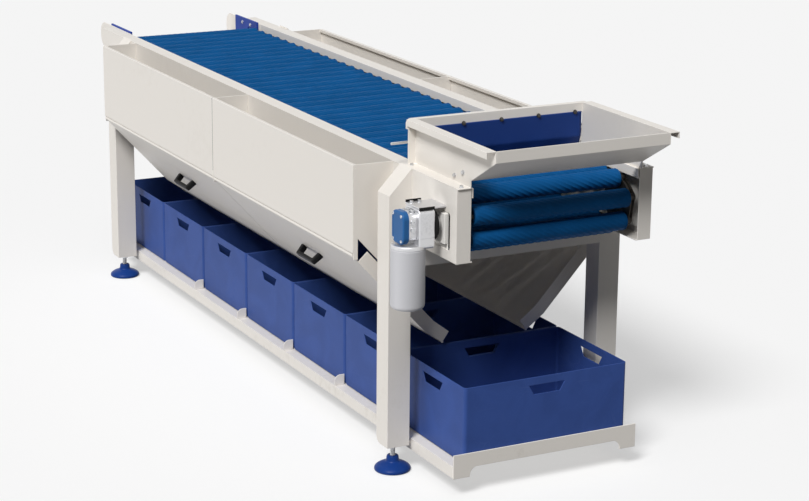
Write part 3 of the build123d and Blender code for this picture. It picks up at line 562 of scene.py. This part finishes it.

# Gearbox
# Right-angle gear housing of blasted light alloy with rounded corners and a joint line above its lower
# cover. A round neck reaches towards the rail with a black ring, a seal whose black also paints the
# shade in the gap there; a square one carries the shaft cap, and a round flange below takes the motor.


def blasted_alloy(name, colour, shadow):
    """Blasted light alloy: fine pitted skin, soft sheen and darker handling stains."""
    material, tree, shader, place = blank_finish(name)
    shader.inputs["Metallic"].default_value = 0.75
    skin = placed(tree, coat_skin, Vector=place, Grain=1100.0)["Height"]
    stains = placed(tree, hand_marks, Vector=place, Scale=12.0, Cover=0.7)["Mask"]
    fold = add(tree, "ShaderNodeAttribute", {"attribute_name": "edge"}).outputs["Fac"]
    stain_share = 0.4
    rub_share = 0.35
    stained = arithmetic(tree, "MULTIPLY", stains, stain_share)
    rubbed = arithmetic(tree, "MULTIPLY", fold, rub_share)
    handled = between(tree, stained, linear(*colour), linear(*shadow))
    whole = between(tree, rubbed, handled, linear(238, 238, 240))
    dull = ranged(tree, stains, low=0.0, high=1.0, low_out=0.34, high_out=0.5)
    feed(tree, shader, whole, dull, skin, depth=0.0002)
    return material


def block(bm, low, high):
    """Add a box between two corners to a bmesh and return its corners."""
    corners = bmesh.ops.create_cube(bm, size=1)["verts"]
    bmesh.ops.scale(bm, vec=high - low, verts=corners)
    bmesh.ops.translate(bm, vec=(low + high) / 2, verts=corners)
    return corners


def runs_across(edge):
    """True for an edge that runs across the table, along Y."""
    return abs(edge.verts[0].co.y - edge.verts[1].co.y) > 0.001


alloy = blasted_alloy("blasted alloy", (214, 214, 216), (150, 150, 152))
gear_low, gear_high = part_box("gearbox")
shaft_low, shaft_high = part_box("drive_shaft")
drive_x = (shaft_low.x + shaft_high.x) / 2
drive_z = (shaft_low.z + shaft_high.z) / 2
housing_length = 0.092
housing_width = 0.052
housing_round = 0.014
housing_rim = 0.004
cover_height = 0.033
joint_line = gear_low.z + cover_height
line_height = 0.002
line_depth = 0.0015
line_slope = 0.0002
housing = bmesh.new()
mark = housing.faces.layers.float.new("edge")
housing_low = Vector((drive_x - housing_length / 2, gear_high.y - housing_width, gear_low.z))
housing_high = Vector((drive_x + housing_length / 2, gear_high.y, gear_high.z))
block(housing, housing_low, housing_high)
across = [edge for edge in housing.edges if runs_across(edge)]
rounded(housing, across, housing_round, steps=6)
rims = [edge for edge in housing.edges if edge.calc_face_angle() > radians(60)]
for face in rounded(housing, rims, housing_rim, steps=3):
    face[mark] = 1.0
for level in (joint_line, joint_line + line_height):
    everything = housing.verts[:] + housing.edges[:] + housing.faces[:]
    bmesh.ops.bisect_plane(housing, geom=everything, dist=cut_distance, plane_co=(0, 0, level), plane_no=up)
belt = [
    face for face in housing.faces
    if joint_line < face.calc_center_median().z < joint_line + line_height
]
bmesh.ops.inset_region(housing, faces=belt, thickness=line_slope, depth=-line_depth, use_boundary=True)
even_shading(finished("gear_housing", housing, alloy, "frame", "gear_metal", "gearbox"))
motor_low, motor_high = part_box("motor")
motor_radius = (motor_high.x - motor_low.x) / 2
motor_foot = Vector(((motor_low.x + motor_high.x) / 2, (motor_low.y + motor_high.y) / 2, motor_low.z))
motor_height = motor_high.z - motor_low.z
flange_height = 0.012
flange_round = 0.003
flange_chamfer = 0.001
flange_top = motor_height + flange_height
flange = turned(
    [(0, motor_height), (motor_radius - flange_chamfer, motor_height),
     (motor_radius, motor_height + flange_chamfer), (motor_radius, flange_top - flange_round),
     (motor_radius - flange_round, flange_top), (0, flange_top)],
    motor_foot, up, steps=64,
)
finished("gear_motor_flange", flange, alloy, "frame", "gear_metal")
neck_gap = 0.012
output_radius = 0.031
output_bore = 0.018
output_round = 0.002
rail_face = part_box("rail_left")[0].y
neck_length = rail_face - gear_high.y - neck_gap
across_table = Vector((0, 1, 0))
output_face = Vector((drive_x, gear_high.y, drive_z))
output_neck = turned(
    [(output_bore, 0), (output_radius, 0), (output_radius, neck_length - output_round),
     (output_radius - output_round, neck_length), (output_bore, neck_length), (output_bore, 0)],
    output_face, across_table, steps=40,
)
finished("gear_output_neck", output_neck, alloy, "frame", "gear_metal")
# Black moulded plastic for the handles; the same black also paints shade in the seal ring, at the bracket's
# ends and in the panel seams.
black_plastic_and_shade = moulded_plastic(
    "black plastic and painted shade", (26, 26, 27), (74, 74, 76),
    roughness=0.42, scuff_share=0.2, grain_depth=0.00008,
)
dark_ring_radius = 0.050
dark_ring_width = 0.013
dark_ring_round = 0.002
# Black ring of the shaft seal; its black also stands for painted shade in the gap between gearbox and rail.
shaft_seal_and_shade = turned(
    [(output_radius, 0), (dark_ring_radius, 0), (dark_ring_radius, dark_ring_width - dark_ring_round),
     (dark_ring_radius - dark_ring_round, dark_ring_width), (output_radius, dark_ring_width), (output_radius, 0)],
    output_face, across_table, steps=56,
)
finished("gear_shaft_seal_and_shade", shaft_seal_and_shade, black_plastic_and_shade, "frame", "handle_plastic")
cap_low, cap_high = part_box("shaft_cap")
seat_size = Vector((0.066, housing_low.y - cap_high.y, 0.084))
seat_round = 0.020
seat_rim = 0.002
cap_seat = bmesh.new()
seat_middle = Vector((drive_x, (housing_low.y + cap_high.y) / 2, drive_z))
block(cap_seat, seat_middle - seat_size / 2, seat_middle + seat_size / 2)
for ring_width, is_across in ((seat_round, True), (seat_rim, False)):
    ring = [
        edge for edge in cap_seat.edges
        if runs_across(edge) == is_across and edge.calc_face_angle() > radians(40)
    ]
    rounded(cap_seat, ring, ring_width, steps=5)
even_shading(finished("gear_cap_seat", cap_seat, alloy, "frame", "gear_metal"))


def socket_screw(radius, height):
    """Mesh of a cap screw lying along +Z: knurled drum with a rounded rim and a hexagon socket."""
    bm = bmesh.new()
    drum = bmesh.ops.create_cone(
        bm, cap_ends=True, segments=24, radius1=radius, radius2=radius, depth=height
    )["verts"]
    bmesh.ops.translate(bm, vec=(0, 0, height / 2), verts=drum)
    face = max(bm.faces, key=lambda f: f.calc_center_median().z)
    rim_round = height * 0.15
    rounded(bm, face.edges, rim_round, steps=2)
    face = max(bm.faces, key=lambda f: f.calc_center_median().z)
    socket_margin = radius * 0.42
    socket_depth = height * 0.55
    bmesh.ops.inset_region(bm, faces=[face], thickness=socket_margin)
    bmesh.ops.inset_region(bm, faces=[face], thickness=0.0001, depth=-socket_depth)
    return mesh_of(bm, "socket screw")


seat_screw = socket_screw(radius=0.0068, height=0.0085)
plug_screw = socket_screw(radius=0.0075, height=0.005)
screw_spacing = 0.022
screw_share = 0.28
plug_levels = (-0.004, 0.018)
seat_top = drive_z + seat_size.z / 2
seat_side = drive_x + seat_size.x / 2
screws = bmesh.new()
for along in (-0.5, 0.5):
    for across in (-screw_share, screw_share):
        spot = Vector((drive_x + along * screw_spacing, seat_middle.y + across * seat_size.y, seat_top))
        stamp(screws, seat_screw, Matrix.Translation(spot))
for level in plug_levels:
    spot = Vector((seat_side, seat_middle.y, drive_z + level))
    stamp(screws, plug_screw, Matrix.Translation(spot) @ Matrix.Rotation(pi / 2, 4, "Y"))
bmesh.ops.recalc_face_normals(screws, faces=screws.faces)
finished("gear_screws", screws, zinc, "frame", "bare_steel")

# Motor
# Upright motor under the gearbox's flange: a smooth drum in light grey enamel with a rounded foot and
# one joint groove under the flange.
enamel = powder_coat("light grey enamel", (198, 198, 202), (160, 158, 156), (216, 216, 220))
foot_round = 0.014
foot_steps = 6
groove = 0.0015
motor_profile = [(0, 0), (motor_radius - foot_round, 0)]
for part in range(1, foot_steps + 1):
    lean = part * pi / (2 * foot_steps)
    motor_profile.append(
        (motor_radius - foot_round + foot_round * sin(lean), foot_round - foot_round * cos(lean))
    )
motor_profile += [
    (motor_radius, motor_height - 2 * groove),
    (motor_radius - groove, motor_height - groove),
    (motor_radius - groove, motor_height),
    (0, motor_height),
]
drum = turned(motor_profile, motor_foot, up, steps=64)
finished("motor_drum", drum, enamel, "frame", "motor_paint", "motor")

# Shaft cap
# Blue moulded cover over the shaft's end: a rounded square with a soft rim, held to the gearbox by
# four screws.
cap_plastic = moulded_plastic(
    "blue cap plastic", (46, 100, 158), (100, 145, 195),
    roughness=0.3, scuff_share=0.08, grain_depth=0.00005,
)
cap_corner = 0.024
cap_rim = 0.005
face_margin = 0.006
face_slope = 0.001
face_sink = 0.0008
cap = bmesh.new()
block(cap, cap_low, cap_high)
sides = [edge for edge in cap.edges if runs_across(edge)]
rounded(cap, sides, cap_corner, steps=7)
front = min(cap.faces, key=lambda f: f.calc_center_median().y)
rounded(cap, front.edges, cap_rim, steps=4)
front = min(cap.faces, key=lambda f: f.calc_center_median().y)
bmesh.ops.inset_region(cap, faces=[front], thickness=face_margin)
bmesh.ops.inset_region(cap, faces=[front], thickness=face_slope, depth=-face_sink)
even_shading(finished("moulded_shaft_cap", cap, cap_plastic, "frame", "cap_plastic", "shaft_cap"))
cap_screw = socket_screw(radius=0.0045, height=0.003)
screw_out = 0.025
screw_up = 0.037
screw_sink = 0.0006
cap_screws = bmesh.new()
for along in (-1, 1):
    for above in (-1, 1):
        spot = Vector((drive_x + along * screw_out, cap_low.y + screw_sink, drive_z + above * screw_up))
        stamp(cap_screws, cap_screw, Matrix.Translation(spot) @ Matrix.Rotation(pi / 2, 4, "X"))
bmesh.ops.recalc_face_normals(cap_screws, faces=cap_screws.faces)
finished("shaft_cap_screws", cap_screws, zinc, "frame", "bare_steel")

# Torque bracket
# Thick alloy plate welded to the rail and bolted on the gearbox, which keeps it from turning. Black
# strips along its two ends are painted shadow in the gaps between plate and gearbox.
folded_piece("torque_bracket", sheet_bend, alloy)
bracket_low, bracket_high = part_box("torque_bracket")
strip_size = Vector((0.004, 0.050, 0.008))
strip_rise = 0.003
strip_round = 0.001
# Black strips at the plate's two ends: painted shadow where the plate meets the gearbox.
painted_shadow_strips = bmesh.new()
for strip_x, strip_z in ((bracket_high.x, bracket_low.z), (bracket_low.x, bracket_high.z)):
    strip_middle = Vector((strip_x, (housing_low.y + housing_high.y) / 2, strip_z + strip_rise))
    block(painted_shadow_strips, strip_middle - strip_size / 2, strip_middle + strip_size / 2)
rounded(painted_shadow_strips, painted_shadow_strips.edges, strip_round, steps=2)
even_shading(finished("bracket_painted_shadow_strips", painted_shadow_strips, black_plastic_and_shade, "frame", "handle_plastic"))

# Feed hopper
# Folded walls with turned-down rims, a sloping near wall with an upright lip and a box beam across
# the far side, all of coated sheet bolted to the rails.
for wall in ("hopper_sides", "hopper_front"):
    folded_piece(wall, sheet_bend, table_paint)
beam_bend = 0.0025
folded_piece("hopper_beam", beam_bend, table_paint)

# Rubber flap and its rod
# A sheet of blue rubber bolted along the hopper's beam. It hangs to just above the rollers, its lower
# lip leaning back from a fold. A plated rod lies behind it.


def rubber_sheet(name, colour, bloom):
    """Smooth rubber sheet: faint calendered lines, pale bloom and a dull surface."""
    material, tree, shader, place = blank_finish(name)
    shader.inputs["Specular IOR Level"].default_value = 0.15
    rolled = add(tree, "ShaderNodeMapping", Vector=place, Scale=(1.0, 0.05, 1.0))
    ridges = add(tree, "ShaderNodeTexNoise", Vector=rolled.outputs[0], Scale=220.0, Detail=3.0)
    clouds = placed(tree, hand_marks, Vector=place, Scale=8.0, Cover=0.6)["Mask"]
    bloom_share = 0.16
    bloomed = arithmetic(tree, "MULTIPLY", clouds, bloom_share)
    whole = between(tree, bloomed, linear(*colour), linear(*bloom))
    dull = ranged(tree, clouds, low=0.0, high=1.0, low_out=0.5, high_out=0.68)
    feed(tree, shader, whole, dull, ridges.outputs[0], depth=0.0002)
    return material


flap_blue = rubber_sheet("blue rubber", (26, 54, 116), (70, 90, 140))
band_low, band_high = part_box("flap_band")
curtain_low, curtain_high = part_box("flap_curtain")
flap = bmesh.new()
flap_middle = Vector(((band_low.x + band_high.x) / 2, 0, (curtain_low.z + band_high.z) / 2))
flap_width = band_high.y - band_low.y
flap_height = band_high.z - curtain_low.z
flap_columns = 56
flap_rows = 30
bmesh.ops.create_grid(flap, x_segments=flap_columns, y_segments=flap_rows, size=0.5)
bmesh.ops.rotate(flap, matrix=Matrix.Rotation(pi / 2, 3, "X"), verts=flap.verts)
bmesh.ops.rotate(flap, matrix=Matrix.Rotation(pi / 2, 3, "Z"), verts=flap.verts)
bmesh.ops.scale(flap, vec=(1, flap_width, flap_height), verts=flap.verts)
bmesh.ops.translate(flap, vec=flap_middle, verts=flap.verts)
wave_depth = 0.0016
wave_count = 5
crease_height = 0.984
crease_lean = 0.45
for vert in flap.verts:
    vert.co.x -= crease_lean * max(0.0, crease_height - vert.co.z)
    free = max(0.0, (curtain_high.z - vert.co.z) / (curtain_high.z - curtain_low.z))
    vert.co.x += wave_depth * free * sin(vert.co.y / flap_width * wave_count * 2 * pi)
bmesh.ops.recalc_face_normals(flap, faces=flap.faces)
flap_sheet = finished("rubber_flap", flap, flap_blue, None, "flap_rubber", "flap_band", "flap_curtain")
thick = flap_sheet.modifiers.new("rubber thickness", "SOLIDIFY")
thick.thickness = band_high.x - band_low.x
thick.offset = 0.0
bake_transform(flap_sheet)
rod_low, rod_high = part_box("flap_rod")
rod_radius = (rod_high.z - rod_low.z) / 2
rod_length = rod_high.y - rod_low.y
rod_end = Vector(((rod_low.x + rod_high.x) / 2, rod_low.y, (rod_low.z + rod_high.z) / 2))
rod_chamfer = 0.0012
rod = turned(
    [(0, 0), (rod_radius - rod_chamfer, 0), (rod_radius, rod_chamfer), (rod_radius, rod_length - rod_chamfer),
     (rod_radius - rod_chamfer, rod_length), (0, rod_length)],
    rod_end, across_table, steps=24,
)
finished("plated_rod", rod, zinc, "frame", "bare_steel", "flap_rod")

# Sorting chutes
# Outer panels with inward rims, end plates and dividers of folded coated sheet. The sloping floors
# curl round hinge rods below the panels and carry black bridge handles. A thin black strip in the
# seam between the panels of a side is painted shade.
handle_round = 0.0042
for part in ("chute_panels", "chute_plates"):
    folded_piece(part, sheet_bend, table_paint)
for end in ("far", "near"):
    for side in ("left", "right"):
        folded_piece(f"chute_floor_{end}_{side}", sheet_bend, table_paint)
        grip = f"handle_{end}_{side}"
        soft = folded(grip, handle_round, steps=4)
        even_shading(finished(f"moulded_{grip}", soft, black_plastic_and_shade, body_of[grip], "handle_plastic", grip))
dress(zinc, "hinge_rods")
panel_low, panel_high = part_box("chute_panels")
seam_x = -0.005
seam_width = 0.003
shade_strip_depth = 0.0018
shade_strip_sink = 0.0006
bend_height = 0.02
shade_strip_size = Vector((seam_width, shade_strip_depth, panel_high.z - panel_low.z - bend_height))
shade_strip_y = panel_high.y - shade_strip_sink - shade_strip_depth / 2
# Black strip sunk in each panel seam: painted shade in the joint.
seam_shade_strips = bmesh.new()
for side in (-1, 1):
    shade_strip_middle = Vector((seam_x, side * shade_strip_y, panel_high.z - shade_strip_size.z / 2))
    block(seam_shade_strips, shade_strip_middle - shade_strip_size / 2, shade_strip_middle + shade_strip_size / 2)
finished("panel_seam_shade_strips", seam_shade_strips, black_plastic_and_shade, "frame", "handle_plastic")

# Crates
# Seven blue moulded tubs with rounded upright corners, thin walls with a rolled edge and a hand slot
# in each wall, standing side by side on the tray.
crate_plastic = moulded_plastic(
    "blue crate plastic", (56, 82, 148), (100, 120, 175),
    roughness=0.46, scuff_share=0.08, grain_depth=0.0001,
)
crate_count = 7
crate_wall = 0.003
crate_corner = 0.012
crate_floor_round = 0.006
crate_edge_round = 0.0011
slot_top_width = 0.125
slot_bottom_width = 0.09
slot_from_rim = 0.025
slot_height = 0.029
wall_ways = [Vector((1, 0, 0)), Vector((-1, 0, 0)), Vector((0, 1, 0)), Vector((0, -1, 0))]


def wall_parts(bm, way):
    """Faces of one flat wall of a crate, with their edges and corners."""
    faces = [face for face in bm.faces if face.normal.dot(way) > 0.999]
    edges = {edge for face in faces for edge in face.edges}
    verts = {vert for face in faces for vert in face.verts}
    return faces, sorted(verts, key=lambda v: v.index) + sorted(edges, key=lambda e: e.index) + faces


for number in range(1, crate_count + 1):
    node = f"crate_{number}"
    low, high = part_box(node)
    middle = (low + high) / 2
    crate = bmesh.new()
    block(crate, low, high)
    lid = [face for face in crate.faces if face.normal.z > 0.9]
    bmesh.ops.delete(crate, geom=lid, context="FACES")
    uprights = [edge for edge in crate.edges if abs(edge.verts[0].co.z - edge.verts[1].co.z) > 0.1]
    rounded(crate, uprights, crate_corner, steps=6)
    base = [edge for edge in crate.edges if max(vert.co.z for vert in edge.verts) < low.z + 0.001]
    rounded(crate, base, crate_floor_round, steps=3)
    slot_top = high.z - slot_from_rim
    slot_bottom = slot_top - slot_height
    for way in wall_ways:
        along = way.cross(up)
        lean = (slot_top_width - slot_bottom_width) / 2
        cuts = [(Vector((0, 0, slot_top)), up), (Vector((0, 0, slot_bottom)), up)]
        for hand in (-1, 1):
            corner = middle + along * hand * slot_top_width / 2
            corner.z = slot_top
            edge_line = -along * hand * lean - up * slot_height
            cuts.append((corner, edge_line.cross(way)))
        for point, normal in cuts:
            geometry = wall_parts(crate, way)[1]
            bmesh.ops.bisect_plane(crate, geom=geometry, dist=cut_distance, plane_co=point, plane_no=normal)
        centre_line = middle.dot(along)
        hole = [
            face for face in wall_parts(crate, way)[0]
            if slot_bottom < face.calc_center_median().z < slot_top
            and abs(face.calc_center_median().dot(along) - centre_line) < slot_bottom_width / 2
        ]
        bmesh.ops.delete(crate, geom=hole, context="FACES")
    bmesh.ops.recalc_face_normals(crate, faces=crate.faces)
    tub = finished(f"moulded_{node}", crate, crate_plastic, node, "crate_plastic", node)
    wall = tub.modifiers.new("wall", "SOLIDIFY")
    wall.thickness = crate_wall
    wall.offset = -1.0
    wall.use_even_offset = True
    rolled_edge = tub.modifiers.new("rolled edge", "BEVEL")
    rolled_edge.width = crate_edge_round
    rolled_edge.segments = 2
    rolled_edge.limit_method = "ANGLE"
    rolled_edge.angle_limit = radians(50)
    even_shading(tub)

# Crate tray
# A coated sheet deck with folded skirts, arched end plates and small upright fins between the crates,
# tied to the posts by short blocks.
for part in ("tray_deck", "tray_ends", "tray_fins"):
    folded_piece(part, sheet_bend, table_paint)

# Outfeed end
# Rounded coated cheek plates past the last rollers, blue guide plates bolted inside them and a
# sloping coated slide between them.
for part in ("outfeed_cheeks", "outfeed_slide"):
    folded_piece(part, sheet_bend, table_paint)
guide_plastic = moulded_plastic(
    "blue guide plastic", (34, 66, 156), (110, 130, 190),
    roughness=0.44, scuff_share=0.12, grain_depth=0.00006,
)
guide_round = 0.0015
folded_piece("outfeed_guides", guide_round, guide_plastic)

# Bolts
# Plated hexagon bolts with washers on the hopper's seat flanges and walls, in the outfeed guides and
# on the torque bracket, and dark ones along the flap.


def hex_bolt(radius, height):
    """Mesh of a bolt head lying along +Z: washer, hexagon and a chamfered crown."""
    bm = bmesh.new()
    washer_height = height * 0.22
    washer_top = radius * 0.96
    washer = bmesh.ops.create_cone(
        bm, cap_ends=True, segments=24, radius1=radius, radius2=washer_top, depth=washer_height
    )["verts"]
    bmesh.ops.translate(bm, vec=(0, 0, washer_height / 2), verts=washer)
    crown_height = height * 0.06
    head_height = height - washer_height - crown_height
    head_radius = radius * 0.82
    head = bmesh.ops.create_cone(
        bm, cap_ends=True, segments=6, radius1=head_radius, radius2=head_radius, depth=head_height
    )["verts"]
    bmesh.ops.translate(bm, vec=(0, 0, washer_height + head_height / 2), verts=head)
    crown = max(bm.faces, key=lambda f: f.calc_center_median().z)
    crown_chamfer = radius * 0.1
    bmesh.ops.inset_region(bm, faces=[crown], thickness=crown_chamfer)
    bmesh.ops.translate(bm, vec=(0, 0, crown_height), verts=crown.verts)
    return mesh_of(bm, "hexagon bolt")


bolt_heads = bmesh.new()
flap_heads = bmesh.new()
for low, high in solids_of("bolts"):
    size = high - low
    middle = (low + high) / 2
    thin = min(range(3), key=lambda k: size[k])
    outward = Vector((0, 0, 0))
    outward[thin] = 1.0
    if thin == 1:
        away = 1.0 if middle.y > 0 else -1.0
        outward.y = away if middle.x > 0 else -away
    seat = middle - outward * size[thin] / 2
    widest = max(size)
    turn = up.rotation_difference(outward).to_matrix().to_4x4()
    heads = flap_heads if thin == 0 else bolt_heads
    stamp(heads, hex_bolt(widest / 2, size[thin]), Matrix.Translation(seat) @ turn)
for heads in (bolt_heads, flap_heads):
    bmesh.ops.recalc_face_normals(heads, faces=heads.faces)
finished("plated_bolts", bolt_heads, zinc, "frame", "bare_steel", "bolts")
finished("dark_flap_bolts", flap_heads, oiled_steel, "frame", "bare_steel")

# Studio
# A pale floor that keeps a soft shadow, an even white surround, a broad lamp high on the left, weaker
# ones overhead and low on the left, and the photograph's viewpoint.


def seen_directly(tree):
    """1 for what the camera sees, straight or mirrored or through glass, and 0 for light that bounces."""
    ray = add(tree, "ShaderNodeLightPath").outputs
    shown = arithmetic(tree, "MAXIMUM", ray["Is Camera Ray"], ray["Is Glossy Ray"])
    return arithmetic(tree, "MAXIMUM", shown, ray["Is Transmission Ray"])


floor_half = 40
floor_sheet = bmesh.new()
bmesh.ops.create_grid(floor_sheet, x_segments=1, y_segments=1, size=floor_half)
studio_floor = mesh_of(floor_sheet, "studio_floor")
floor_piece = bpy.data.objects.new("studio_floor", studio_floor)
bpy.context.scene.collection.objects.link(floor_piece)
floor_paint = bpy.data.materials.new("pale floor")
floor_paint.use_nodes = True
tree = floor_paint.node_tree
tree.nodes.remove(tree.nodes["Principled BSDF"])
floor_white = 0.96
bounce_grey = 0.12
shadow_share = 0.5
floor_glow = add(tree, "ShaderNodeEmission", Color=(1, 1, 1, 1), Strength=0.97)
shaded_floor = add(tree, "ShaderNodeBsdfDiffuse", Color=(floor_white, floor_white, floor_white, 1))
seen_floor = add(tree, "ShaderNodeMixShader", Fac=shadow_share)
tree.links.new(floor_glow.outputs[0], seen_floor.inputs[1])
tree.links.new(shaded_floor.outputs[0], seen_floor.inputs[2])
lit_floor = add(tree, "ShaderNodeBsdfDiffuse", Color=(bounce_grey, bounce_grey, bounce_grey, 1))
floor_mix = add(tree, "ShaderNodeMixShader", Fac=seen_directly(tree))
tree.links.new(lit_floor.outputs[0], floor_mix.inputs[1])
tree.links.new(seen_floor.outputs[0], floor_mix.inputs[2])
tree.links.new(floor_mix.outputs[0], tree.nodes["Material Output"].inputs["Surface"])
studio_floor.materials.append(floor_paint)
floor_piece.visible_shadow = False

world = bpy.data.worlds.new("white surround")
bpy.context.scene.world = world
world.use_nodes = True
tree = world.node_tree
fill_light = 0.08
surround = tree.nodes["Background"]
surround.inputs["Color"].default_value = (1, 1, 1, 1)
strength = arithmetic(tree, "MULTIPLY", seen_directly(tree), 1 - fill_light)
tree.links.new(arithmetic(tree, "ADD", strength, fill_light), surround.inputs["Strength"])

lamps = {
    "key lamp": (2.8, 18, Vector((0.43, -0.54, 0.72))),
    "top lamp": (0.6, 30, Vector((0.4, -0.3, 0.87))),
    "low lamp": (1.15, 40, Vector((-0.2, -0.8, -0.6))),
}
for lamp_name, (power, spread, towards) in lamps.items():
    lamp = bpy.data.lights.new(lamp_name, "SUN")
    lamp.energy = power
    lamp.angle = radians(spread)
    lamp_object = bpy.data.objects.new(lamp_name, lamp)
    bpy.context.scene.collection.objects.link(lamp_object)
    lamp_object.rotation_euler = towards.to_track_quat("Z", "Y").to_euler()

image_width = 809
focal_pixels = 2160.6
camera_data = bpy.data.cameras.new("camera")
camera_data.sensor_width = 36
camera_data.lens = focal_pixels / image_width * camera_data.sensor_width
camera_data.clip_end = 200
camera = bpy.data.objects.new("camera", camera_data)
bpy.context.scene.collection.objects.link(camera)
camera_place = Vector((6.6949, -3.2030, 2.4309))
camera_turn = radians(62.53)
camera_tilt = radians(-15.61)
camera_roll = radians(0.56)
camera.matrix_world = (
    Matrix.Translation(camera_place)
    @ Matrix.Rotation(camera_turn, 4, "Z")
    @ Matrix.Rotation(pi / 2 + camera_tilt, 4, "X")
    @ Matrix.Rotation(camera_roll, 4, "Z")
)
bpy.context.scene.camera = camera
bpy.context.scene.view_settings.view_transform = "Standard"

bpy.context.view_layer.update()
